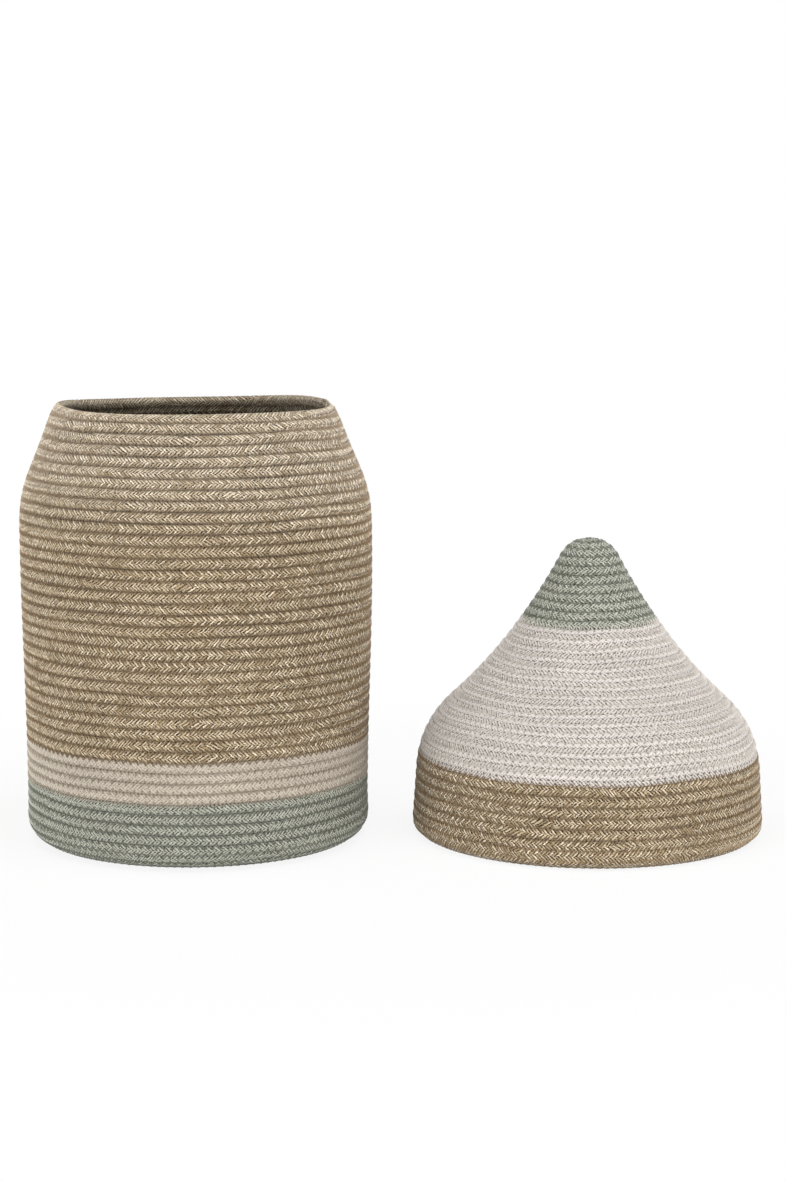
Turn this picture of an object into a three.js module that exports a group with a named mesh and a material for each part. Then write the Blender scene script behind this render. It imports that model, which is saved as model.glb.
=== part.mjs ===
// Pencil-shaped storage basket, sewn from coiled braided cord, with its pointed lid standing beside it.
// Units are millimetres and +Z is up. The origin is the middle of the basket's base, on the floor.
//
// The basket and the lid are each one shell of cord, coiled from a centre and sewn turn to turn. A shell is
// described by the outline of its outer face, from the axis to the rim, and by a coil line that winds round
// it. Each length of cord is one solid: its turns make one unbroken ridge, with a groove where two meet.

import * as THREE from 'three';
import { mergeVertices } from 'three/addons/utils/BufferGeometryUtils.js';

// Cord
const tanCordWidth = 9.3;
const creamCordWidth = 8.6;
const greenCordWidth = 8.7;
const lidCreamCordWidth = 9.3;
const cordThickness = 8;
const grooveDepth = 2.2;
const crownShare = 0.4;
const seamGap = 0.3;

// Basket
const wallRadius = 150;
const footRadius = 148.4;
const cornerRadius = 22;
const shoulderHeight = 276;
const shoulderRadius = 116;
const neckAngle = THREE.MathUtils.degToRad(21.4);
const mouthRadius = 120;
const greenBandHeight = 57.1;
const creamBandHeight = 91.3;

// Lid
const rimFlare = 2.6;
const lidRimRadius = wallRadius + rimFlare;
const tipRadius = 28;
const tipSlope = THREE.MathUtils.degToRad(63.6);
const eaveSlope = THREE.MathUtils.degToRad(41.6);
const eaveRadius = 88;
const skirtLean = THREE.MathUtils.degToRad(3.5);
const skirtLength = 45;
const curlRadius = 12;
const tipBandDepth = 72;
const skirtBandHeight = 69.9;

// Where the lid stands, beside the basket
const gapBeside = 36.8;
const lidAcross = wallRadius + gapBeside + lidRimRadius;
const lidBack = 10;

// Facets: the number of steps in one turn divides by four, so that quarter turns fall on a step
const stepsPerTurn = 24;
const innerBend = THREE.MathUtils.degToRad(15);

const stationGap = 1;
const tolerance = 1e-6;

// Angles, and the coil line's level, in cord widths, round the front half of a turn
const TURN = Math.PI * 2;
const BACK = Math.PI / 2;
const quarterShare = 0.25;
const levelShare = 0.5;

// An outline in the half plane (r, z): straight runs and arcs, each going on in the direction of the last.
// A positive turn bends to the left of the direction of travel.
function makeOutline(startZ, pieces) {
  const runs = [];
  let place = new THREE.Vector2(0, startZ);
  let heading = 0;
  let start = 0;
  for (const piece of pieces) {
    const turn = piece.turn ?? 0;
    const length = piece.length ?? piece.radius * Math.abs(turn);
    const run = { start, length, turn, heading, place };
    runs.push(run);
    place = pointOnRun(run, length);
    heading += turn;
    start += length;
  }
  const pointAt = (s) => {
    const run = runs.find((each) => s <= each.start + each.length) ?? runs.at(-1);
    return pointOnRun(run, s - run.start);
  };
  const headingAt = (s) => {
    const run = runs.find((each) => s <= each.start + each.length) ?? runs.at(-1);
    return run.heading + run.turn * THREE.MathUtils.clamp((s - run.start) / run.length, 0, 1);
  };
  // Places from a start to an end that follow the outline's bends closely enough for a smooth face
  const stations = (from, to) => {
    const bends = runs.flatMap((run) => {
      const count = Math.max(1, Math.ceil(Math.abs(run.turn) / innerBend));
      return Array.from({ length: count }, (_, i) => run.start + run.length * i / count);
    });
    return [from, ...bends.filter((s) => s > from + stationGap && s < to - stationGap), to];
  };
  return { length: start, pointAt, headingAt, stations };
}

function pointOnRun(run, along) {
  if (run.turn === 0) {
    return new THREE.Vector2(Math.cos(run.heading), Math.sin(run.heading))
      .multiplyScalar(along)
      .add(run.place);
  }
  const signedRadius = run.length / run.turn;
  const bent = run.heading + along / signedRadius;
  return new THREE.Vector2(
    run.place.x + signedRadius * (Math.sin(bent) - Math.sin(run.heading)),
    run.place.y - signedRadius * (Math.cos(bent) - Math.cos(run.heading)),
  );
}

// The length along an outline at which it passes a height
function lengthAtHeight(outline, z, rising) {
  let low = 0;
  let high = outline.length;
  while (high - low > tolerance) {
    const middle = (low + high) / 2;
    const below = outline.pointAt(middle).y < z;
    if (below === rising) low = middle;
    else high = middle;
  }
  return low;
}

function basketOutline() {
  const lean = Math.atan2(wallRadius - footRadius, shoulderHeight - cornerRadius);
  const wallLength = (shoulderHeight - cornerRadius) / Math.cos(lean);
  const shoulderTurn = neckAngle + lean;
  const shoulderInset = shoulderRadius * (Math.cos(lean) - Math.cos(neckAngle));
  const neckLength = (wallRadius - shoulderInset - mouthRadius) / Math.sin(neckAngle);
  return makeOutline(0, [
    { length: footRadius - cornerRadius * Math.cos(lean) },
    { radius: cornerRadius, turn: Math.PI / 2 - lean },
    { length: wallLength },
    { radius: shoulderRadius, turn: shoulderTurn },
    { length: neckLength },
  ]);
}

// The lid's outline starts at the tip. The hollow flank takes up whatever reaches the rim's radius, and the
// rim turns under and ends in a flat run that the lid stands on.
function lidOutline() {
  const restWidth = tanCordWidth / 2;
  const steep = Math.PI / 2 - skirtLean;
  const tipReach = tipRadius * Math.sin(tipSlope);
  const eaveReach = eaveRadius * (Math.sin(steep) - Math.sin(eaveSlope));
  const skirtReach = skirtLength * Math.cos(steep);
  const curlReach = curlRadius * (1 - Math.sin(steep));
  const flankReach = lidRimRadius - tipReach - eaveReach - skirtReach - curlReach;
  const flankRadius = flankReach / (Math.sin(tipSlope) - Math.sin(eaveSlope));
  const pieces = [
    { radius: tipRadius, turn: -tipSlope },
    { radius: flankRadius, turn: tipSlope - eaveSlope },
    { radius: eaveRadius, turn: eaveSlope - steep },
    { length: skirtLength },
    { radius: curlRadius, turn: steep - Math.PI },
    { length: restWidth },
  ];
  const hung = makeOutline(0, pieces);
  const height = -hung.pointAt(hung.length).y;
  return { ...makeOutline(height, pieces), height };
}

// The coil line: how many cord widths it has climbed after a number of turns. It is level round the front
// half of each turn and climbs one width round the back half.
function climb(turns) {
  const whole = Math.floor(turns + tolerance);
  const part = turns - whole;
  const swing = levelShare * Math.sin(TURN * part);
  if (part < quarterShare) return whole + swing;
  if (part > 1 - quarterShare) return whole + 1 + swing;
  return whole + levelShare;
}

// Fills each band of a shell with turns, and gives the length along the outline that the coil line has
// reached. Seen from the front, where the line is level, a band ends half a width past a whole turn.
function layOut(bands) {
  const knots = [{ turns: 0, length: 0 }];
  for (const band of bands) {
    const before = knots.at(-1);
    const room = band.end - before.length;
    const filled = Math.round(before.turns + room / band.width - levelShare);
    band.to = Math.max(filled, Math.ceil(before.turns) + 1);
    knots.push({ turns: band.to + levelShare, length: band.end });
  }
  return (wound) => {
    const reached = knots.findIndex((knot) => wound <= knot.turns);
    if (reached < 0) return knots.at(-1).length;
    const b = knots[Math.max(1, reached)];
    const a = knots[Math.max(1, reached) - 1];
    return THREE.MathUtils.mapLinear(wound, a.turns, b.turns, a.length, b.length);
  };
}

// Points and faces of one solid on a shell
class Skin {
  constructor(shell) {
    this.shell = shell;
    this.positions = [];
    this.triangles = [];
  }

  // A point at a length along the outline, a depth below the outer face and a step round the coil, moved
  // along the cord by shift
  point(s, depth, step, shift = 0) {
    const { outline, hand } = this.shell;
    const place = outline.pointAt(s);
    const heading = outline.headingAt(s);
    const r = Math.max(0, place.x - hand * depth * Math.sin(heading));
    const z = place.y + hand * depth * Math.cos(heading);
    const turned = TURN * step / stepsPerTurn + shift / Math.max(r, cordThickness);
    const angle = BACK + hand * turned;
    this.positions.push(r * Math.cos(angle), r * Math.sin(angle), z);
    return this.positions.length / 3 - 1;
  }

  face(a, b, c) {
    if (a !== b && b !== c && c !== a) this.triangles.push(a, b, c);
  }

  quad(a, b, c, d) {
    this.face(a, b, c);
    this.face(a, c, d);
  }

  // A flat end of the cord, from its inner corner to the points across its outer face
  cap(corner, across) {
    for (let k = 0; k + 1 < across.length; k += 1) this.face(corner, across[k], across[k + 1]);
  }

  geometry() {
    const geometry = new THREE.BufferGeometry();
    geometry.setAttribute('position', new THREE.Float32BufferAttribute(this.positions, 3));
    geometry.setIndex(this.triangles);
    const merged = mergeVertices(geometry, 1e-4);
    merged.computeVertexNormals();
    return merged;
  }
}

// One length of cord, from a turn to a turn of its shell's coil, as one closed solid. With atAxis the coil
// starts at the axis. With atRim it ends level, its last turn tapering out over the quarter past its end, and
// with rests its rim is a flat ring.
function cordSolid(shell, cord) {
  const skin = new Skin(shell);
  const first = cord.from * stepsPerTurn;
  const last = (cord.to + (cord.atRim ? quarterShare : 0)) * stepsPerTurn;
  const gaps = { start: cord.atAxis ? 0 : seamGap / 2, end: cord.atRim ? 0 : seamGap / 2 };
  const coil = { first, last, gaps };
  const grooves = addGrooves(skin, cord, coil);
  const sections = addCrown(skin, cord, coil, grooves);
  const rings = addInnerFace(skin, cord, gaps);
  closeStart(skin, cord, grooves, sections[0], rings[0]);
  closeEnd(skin, cord, grooves, last - first, sections.at(-1), rings.at(-1));
  return skin.geometry();
}

// The coil line's place along the outline at a step, drawn back by the seam's gap from the cords beside it
function edge(shell, coil, line) {
  const atStart = line <= coil.first + stepsPerTurn ? coil.gaps.start : 0;
  const atEnd = line >= coil.last ? coil.gaps.end : 0;
  return shell.reach(climb(line / stepsPerTurn)) + atStart - atEnd;
}

// How far the grooves have opened at a number of turns: none round the eye, the first turn of a coil, and
// full half a turn later
function grooveOpening(turns) {
  return THREE.MathUtils.clamp((climb(turns) - 1) / levelShare, 0, 1);
}

// The grooves: one point for each step of the coil line, from the cord's first lower edge to its last upper
// edge, so that neighbouring turns share them
function addGrooves(skin, cord, coil) {
  const end = coil.last + stepsPerTurn;
  const grooves = [];
  for (let line = coil.first; line <= end; line += 1) {
    const open = cord.atAxis ? grooveOpening(line / stepsPerTurn) : 1;
    const depth = cord.rests && line >= coil.last ? 0 : grooveDepth * open;
    const shift = (line === coil.first ? coil.gaps.start : 0) - (line === end ? coil.gaps.end : 0);
    grooves.push(skin.point(edge(skin.shell, coil, line), depth, line, shift));
  }
  if (cord.atRim) grooves[end - coil.first] = grooves[coil.last - coil.first];
  return grooves;
}

// The crown, between the grooves below and above it, lower where the cord tapers out
function addCrown(skin, cord, coil, grooves) {
  const crownEdges = [0.5 - crownShare / 2, 0.5 + crownShare / 2];
  const { reach } = skin.shell;
  const width = reach(cord.to + levelShare) - reach(cord.to - levelShare);
  const sections = [];
  for (let step = coil.first; step <= coil.last; step += 1) {
    const low = edge(skin.shell, coil, step);
    const high = edge(skin.shell, coil, step + stepsPerTurn);
    const below = grooves[step - coil.first];
    const above = grooves[step - coil.first + stepsPerTurn];
    const taper = cord.atRim ? Math.max(0, 1 - (high - low) / width) : 0;
    const shift = (step === coil.first ? coil.gaps.start : 0) - (step === coil.last ? coil.gaps.end : 0);
    const crown = below === above ? [] : crownEdges.map((share) => (
      skin.point(THREE.MathUtils.lerp(low, high, share), grooveDepth * taper, step, shift)
    ));
    sections.push(below === above ? [below, below, below, below] : [below, ...crown, above]);
  }
  for (let i = 0; i + 1 < sections.length; i += 1) {
    const here = sections[i];
    const next = sections[i + 1];
    for (let k = 0; k + 1 < here.length; k += 1) skin.quad(here[k], next[k], next[k + 1], here[k + 1]);
  }
  return sections;
}

// The inner face: level rings a cord's thickness in, wherever the outline bends
function addInnerFace(skin, cord, gaps) {
  const { outline, reach } = skin.shell;
  const start = cord.atAxis ? 0 : reach(cord.from + levelShare) + gaps.start;
  const end = reach(cord.to + levelShare) - gaps.end;
  const rings = outline.stations(start, end).map((s, i) => {
    const steps = Array.from({ length: stepsPerTurn }, (_, step) => step);
    if (cord.atAxis && i === 0) {
      const middle = skin.point(s, cordThickness, 0);
      return [...steps, 0].map(() => middle);
    }
    const ring = steps.map((step) => skin.point(s, cordThickness, step));
    return [...ring, ring[0]];
  });
  for (let i = 0; i + 1 < rings.length; i += 1) {
    for (let step = 0; step < stepsPerTurn; step += 1) {
      skin.quad(rings[i][step], rings[i + 1][step], rings[i + 1][step + 1], rings[i][step + 1]);
    }
  }
  return rings;
}

// The start: the eye of the coil, or the seam against the cord before it and the cord's square end
function closeStart(skin, cord, grooves, section, ring) {
  if (cord.atAxis) {
    for (let step = 0; step + 1 < stepsPerTurn; step += 1) {
      skin.face(grooves[0], grooves[step + 1], grooves[step]);
    }
    skin.cap(grooves[stepsPerTurn - 1], section);
    return;
  }
  for (let step = 0; step < stepsPerTurn; step += 1) {
    skin.quad(grooves[step], ring[step], ring[step + 1], grooves[step + 1]);
  }
  skin.cap(ring[0], section);
}

// The end: the seam against the cord after it and the cord's square end, or the level rim
function closeEnd(skin, cord, grooves, lastLine, section, ring) {
  for (let step = 0; step < stepsPerTurn; step += 1) {
    const around = (lastLine + step) % stepsPerTurn;
    skin.quad(grooves[lastLine + step], grooves[lastLine + step + 1], ring[around + 1], ring[around]);
  }
  if (!cord.atRim) skin.cap(ring[0], section.toReversed());
}

const finish = {
  tan: new THREE.MeshStandardMaterial({ color: 0xb0a083, roughness: 0.95, metalness: 0 }),
  cream: new THREE.MeshStandardMaterial({ color: 0xd4cabd, roughness: 0.95, metalness: 0 }),
  green: new THREE.MeshStandardMaterial({ color: 0x9ba38f, roughness: 0.95, metalness: 0 }),
};

function buildShell(shell, cords) {
  const group = new THREE.Group();
  for (const cord of cords) {
    const mesh = new THREE.Mesh(cordSolid(shell, cord), cord.material);
    mesh.name = cord.name;
    group.add(mesh);
  }
  return group;
}

// The green cord is coiled flat for the base, to where the wall turns up, and goes on as the foot band.
function buildBasket() {
  const outline = basketOutline();
  const green = { width: greenCordWidth, end: lengthAtHeight(outline, greenBandHeight, true) };
  const cream = { width: creamCordWidth, end: lengthAtHeight(outline, creamBandHeight, true) };
  const tan = { width: tanCordWidth, end: outline.length };
  const reach = layOut([green, cream, tan]);
  const baseTurns = Math.floor((footRadius - cornerRadius) / reach(1));
  return buildShell({ outline, reach, hand: 1 }, [
    { name: 'base_coil', material: finish.green, from: 0, to: baseTurns, atAxis: true },
    { name: 'foot_band', material: finish.green, from: baseTurns, to: green.to },
    { name: 'cream_band', material: finish.cream, from: green.to, to: cream.to },
    { name: 'tan_wall', material: finish.tan, from: cream.to, to: tan.to, atRim: true },
  ]);
}

function buildLid() {
  const outline = lidOutline();
  const tipBandHeight = outline.height - tipBandDepth;
  const green = { width: greenCordWidth, end: lengthAtHeight(outline, tipBandHeight, false) };
  const cream = { width: lidCreamCordWidth, end: lengthAtHeight(outline, skirtBandHeight, false) };
  const tan = { width: tanCordWidth, end: outline.length };
  const reach = layOut([green, cream, tan]);
  const lid = buildShell({ outline, reach, hand: -1 }, [
    { name: 'lid_tip', material: finish.green, from: 0, to: green.to, atAxis: true },
    { name: 'lid_cone', material: finish.cream, from: green.to, to: cream.to },
    { name: 'lid_skirt', material: finish.tan, from: cream.to, to: tan.to, atRim: true, rests: true },
  ]);
  lid.position.set(lidAcross, lidBack, 0);
  return lid;
}

const pencilBasket = new THREE.Group();
pencilBasket.add(buildBasket(), buildLid());

export default pencilBasket;
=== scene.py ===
# Pencil-shaped storage basket of coiled braided cord, with its lid standing beside it.
# Units are metres and +Z is up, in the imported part's frame.

import math

import bpy
import numpy as np
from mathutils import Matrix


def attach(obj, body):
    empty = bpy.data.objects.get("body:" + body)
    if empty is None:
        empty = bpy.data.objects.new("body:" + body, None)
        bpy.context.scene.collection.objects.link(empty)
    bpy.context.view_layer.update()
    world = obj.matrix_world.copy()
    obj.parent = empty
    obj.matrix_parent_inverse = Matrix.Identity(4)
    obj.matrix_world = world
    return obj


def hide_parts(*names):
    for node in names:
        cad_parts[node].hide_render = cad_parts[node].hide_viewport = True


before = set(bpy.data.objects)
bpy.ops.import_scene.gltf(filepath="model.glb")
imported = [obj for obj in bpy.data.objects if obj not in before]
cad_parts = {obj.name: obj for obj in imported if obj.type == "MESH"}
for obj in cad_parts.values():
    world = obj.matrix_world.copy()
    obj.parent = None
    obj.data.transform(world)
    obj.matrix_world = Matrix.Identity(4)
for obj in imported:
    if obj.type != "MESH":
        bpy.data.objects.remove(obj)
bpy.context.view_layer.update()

MM = 0.001
TURN = 2 * math.pi
TINY = 1e-9
SEED = 7
FIRST_CORD_SEED = SEED + 10

# The angle about an axis of the back, where every turn of a coil starts
BACK = math.pi / 2

# Cords. A section's squareness is the power of its outline: 2 is round, and more is squarer.
TAN_WIDTH = 9.3 * MM
CREAM_WIDTH = 8.6 * MM
GREEN_WIDTH = 8.7 * MM
LID_CREAM_WIDTH = 9.3 * MM
CORD_THICKNESS = 8 * MM
CORD_GIRTH = 29 * MM
LEAST_HALF_WIDTH = 1 * MM
SQUARENESS = 2.8
FREE_SQUARENESS = 2.1

# Basket
WALL_RADIUS = 150 * MM
FOOT_RADIUS = 148.4 * MM
CORNER_RADIUS = 22 * MM
SHOULDER_HEIGHT = 276 * MM
SHOULDER_RADIUS = 116 * MM
NECK_ANGLE = math.radians(21.4)
MOUTH_RADIUS = 120 * MM
GREEN_BAND_HEIGHT = 57.1 * MM
CREAM_BAND_HEIGHT = 91.3 * MM

# Lid
LID_RIM_RADIUS = WALL_RADIUS + 2.6 * MM
TIP_RADIUS = 28 * MM
TIP_SLOPE = math.radians(63.6)
EAVE_SLOPE = math.radians(41.6)
EAVE_RADIUS = 88 * MM
SKIRT_LEAN = math.radians(3.5)
SKIRT_LENGTH = 45 * MM
CURL_RADIUS = 12 * MM
TIP_BAND_DEPTH = 72 * MM
SKIRT_BAND_HEIGHT = 69.9 * MM
LID_BACK = 10 * MM
LID_AXIS = (WALL_RADIUS + 36.8 * MM + LID_RIM_RADIUS, LID_BACK)

# Coil line, in turns. A coil's first cord starts a little before its first full turn, to fill the eye. The
# last turn ends at the side, and the cord tapers away over twice the taper before that. Over some of the last
# turns the climb moves from the back to that side.
EYE_START = -0.75
END_TURN = 0.8
TAPER = 0.03
SIDE_CLIMB_FROM = 5
SIDE_CLIMB_OVER = 3
STEPS_PER_TURN = 200
OUTLINE_STEPS = 20000

# Unevenness: a slow bulge of the whole shell, and a drift of its rows, each with the most waves round the
# shell and their shortest length along it. Both settle down near the floor and the coil's eye, and the drift
# ends at the rim.
BULGE = 0.9 * MM
BULGE_ROUNDS = 3
BULGE_LENGTH = 300 * MM
DRIFT = 0.35 * MM
DRIFT_ROUNDS = 9
DRIFT_LENGTH = 60 * MM
SETTLED_HEIGHT = 40 * MM
SETTLED_RADIUS = 60 * MM
SETTLED_RIM = 12 * MM

# Basket's rim: it leans in, most of all in front, and it stands higher at two angles round it, each given
# with its rise. The lean and the rises die away over some rows of cord.
RIM_LEAN = 3 * MM
RIM_LEAN_ROWS = 1.5
LEAN_LOST_BEHIND = 0.9
RIM_RISES = ((math.radians(35), 4.5 * MM), (math.radians(180), 3.3 * MM))
RIM_RISE_ROWS = 4
RIM_RISE_POWER = 12

# Braid: its strands lean along the cord in arms, and turn back at the folds between the arms
STRAND_WIDTH = 3.2 * MM
RINGS_PER_STRAND = 2
ARMS = 4
COLUMNS_PER_ARM = 3
COLUMNS = ARMS * COLUMNS_PER_ARM
ARM_REACH = 6.6 * MM

# Cord ends: the strands' lean straightens out over a length, and the end face is drawn in to a rounded edge
END_LENGTH = 15 * MM
END_ROUNDING = 1.5 * MM
END_DRAW = 0.8

# Last turn of a shell: it has no neighbour ahead, so its free side grows rounder, over a part of a turn.
# Where the cord tapers away, it also grows thinner once its width is below a share of the full one.
FREE_OVER = 0.02
THINS_BELOW = 0.6

# Relief: what a groove within a pair of strands loses of its depth, the even depth at a fold, and the
# unevenness of it all
PAIR_LOSS = 0.7
FOLD_RELIEF = 0.25
RELIEF_SPREAD = (0.7, 1.3)

# Twist: once in each spacing a cord may turn by a quarter about its own line. It also wanders, in radians.
TWIST_SPACING = 85 * MM
TWIST_REACH = 12 * MM
TWIST_CHANCES = (0.25, 0.5, 0.25)
TWIST_PLACES = (0.2, 0.8)
WANDER = (-0.3, 0.12)

# Each finish's braid: how far its strands go in pairs from 0 to 1, how deep they lie apart, and how far its
# sewing reaches back and ahead from the seam
BRAIDS = {
    "tan": (1.0, 0.85 * MM, 2.2 * MM, 2.2 * MM),
    "cream": (0.2, 0.5 * MM, 2.2 * MM, 2.2 * MM),
    "pale cream": (0.2, 0.38 * MM, 4.2 * MM, 1.4 * MM),
    "green": (0.5, 0.65 * MM, 2.2 * MM, 2.2 * MM),
}

# Zigzag sewing that joins each turn to the one before it. The needle goes in at two places in each zigzag,
# one on the row ahead of the seam and one on the row behind it. The zigzag's reach varies a little, and is
# at most a share of the row's half width. The thread bridges the groove between two places beside the seam.
STITCH_PERIOD = 6.6 * MM
STITCH_STEPS = 8
NEEDLE_AHEAD = 0.25
NEEDLE_BEHIND = 0.75
REACH_SPREAD = (0.85, 1.1)
MOST_REACH = 0.9
BRIDGE = 1.2 * MM

# Thread. Its lift is how far its middle is above the cord. The lift is another one where the thread has swung
# nearly all its reach, to the needle, and where it's close to the seam.
THREAD_WIDTH = 1.0 * MM
THREAD_SIDES = 3
THREAD_LIFT = 0.2 * MM
AT_NEEDLE = 0.9
LIFT_AT_NEEDLE = -0.4 * MM
AT_SEAM = 0.1
LIFT_AT_SEAM = -0.1 * MM

# Bake map: a margin at each edge of a row, and a little slack, so that a cord's end stays in the last row
BAKE_MARGIN = 0.02
BAKE_SLACK = 1.0001


def smooth(x):
    """Rises smoothly from 0 to 1 as x does."""
    x = np.clip(x, 0, 1)
    return x * x * (3 - 2 * x)


def path_length(places):
    """The length along a path of points, up to each of them."""
    steps = np.linalg.norm(np.diff(places, axis=0), axis=1)
    return np.concatenate([[0], np.cumsum(steps)])


class Waves:
    """A smooth, seeded unevenness over a shell: a sum of waves round it and along its outline."""

    def __init__(self, rng, size, rounds, length, count=7):
        self.rounds = rng.integers(0, rounds + 1, count)
        self.along = rng.uniform(-1, 1, count) * TURN / length
        self.phase = rng.uniform(0, TURN, count)
        self.size = size / math.sqrt(count / 2)

    def at(self, angle, s):
        total = np.zeros(np.broadcast(angle, s).shape)
        for rounds, along, phase in zip(self.rounds, self.along, self.phase):
            total = total + np.sin(rounds * angle + along * s + phase)
        return self.size * total


class Outline:
    """A shell's outline in the half plane (r, z): straight runs and arcs, from the axis to the rim."""

    def __init__(self, start_z, pieces):
        place = np.array([0.0, start_z])
        heading = 0.0
        self.starts = []
        self.runs = []
        start = 0.0
        for kind, size, turn in pieces:
            length = size if kind == "line" else size * abs(turn)
            self.starts.append(start)
            self.runs.append((place, heading, turn, length))
            place = place + self.moved(heading, turn, length, np.array(length))
            heading += turn
            start += length
        self.length = start
        self.end = place

    @staticmethod
    def moved(heading, turn, length, along):
        """How far a run has come after a length along it."""
        if turn == 0:
            return np.stack([along * math.cos(heading), along * math.sin(heading)], -1)
        radius = length / turn
        bent = heading + along / radius
        across = radius * (np.sin(bent) - math.sin(heading))
        up = -radius * (np.cos(bent) - math.cos(heading))
        return np.stack([across, up], -1)

    def at(self, s):
        """r, z and heading at lengths s along the outline."""
        s = np.clip(np.asarray(s, float), 0, self.length)
        which = np.clip(np.searchsorted(self.starts, s, side="right") - 1, 0, len(self.runs) - 1)
        places = np.zeros(s.shape + (2,))
        headings = np.zeros(s.shape)
        for i, (place, heading, turn, length) in enumerate(self.runs):
            mine = which == i
            along = s[mine] - self.starts[i]
            places[mine] = place + self.moved(heading, turn, length, along)
            headings[mine] = heading + turn * along / length
        return places[..., 0], places[..., 1], headings

    def length_at(self, z, rising):
        """The length along the outline at which it passes a height."""
        s = np.linspace(0, self.length, OUTLINE_STEPS + 1)
        height = self.at(s)[1]
        passed = height >= z if rising else height <= z
        return s[np.argmax(passed)]


def basket_outline():
    lean = math.atan2(WALL_RADIUS - FOOT_RADIUS, SHOULDER_HEIGHT - CORNER_RADIUS)
    wall = (SHOULDER_HEIGHT - CORNER_RADIUS) / math.cos(lean)
    inset = SHOULDER_RADIUS * (math.cos(lean) - math.cos(NECK_ANGLE))
    neck = (WALL_RADIUS - inset - MOUTH_RADIUS) / math.sin(NECK_ANGLE)
    return Outline(0, [
        ("line", FOOT_RADIUS - CORNER_RADIUS * math.cos(lean), 0),
        ("arc", CORNER_RADIUS, math.pi / 2 - lean),
        ("line", wall, 0),
        ("arc", SHOULDER_RADIUS, NECK_ANGLE + lean),
        ("line", neck, 0),
    ])


def lid_outline():
    """The lid's outline from its tip down, and the tip's height."""
    steep = math.pi / 2 - SKIRT_LEAN
    taken = (
        TIP_RADIUS * math.sin(TIP_SLOPE)
        + EAVE_RADIUS * (math.sin(steep) - math.sin(EAVE_SLOPE))
        + SKIRT_LENGTH * math.cos(steep)
        + CURL_RADIUS * (1 - math.sin(steep))
    )
    flank_radius = (LID_RIM_RADIUS - taken) / (math.sin(TIP_SLOPE) - math.sin(EAVE_SLOPE))
    pieces = [
        ("arc", TIP_RADIUS, -TIP_SLOPE),
        ("arc", flank_radius, TIP_SLOPE - EAVE_SLOPE),
        ("arc", EAVE_RADIUS, EAVE_SLOPE - steep),
        ("line", SKIRT_LENGTH, 0),
        ("arc", CURL_RADIUS, steep - math.pi),
        ("line", TAN_WIDTH / 2, 0),
    ]
    height = -Outline(0, pieces).end[1]
    return Outline(height, pieces), height


def climb(turns, last):
    """Cord widths that the coil line has climbed. It's level round the front, the middle half of a turn, and
    climbs round the back. Near the last turn the back is level too, and the climb is at the side where the
    cord ends."""
    whole = np.floor(turns + TINY)
    part = turns - whole
    swing = 0.5 * np.sin(TURN * part)
    behind = whole + np.where(part < 0.25, swing, np.where(part > 0.75, 1 + swing, 0.5))
    beside = whole + 0.5 + smooth((part - END_TURN + 2 * TAPER) / (2 * TAPER))
    near_last = smooth((turns - last + SIDE_CLIMB_FROM) / SIDE_CLIMB_OVER)
    return behind + near_last * (beside - behind)


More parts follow.
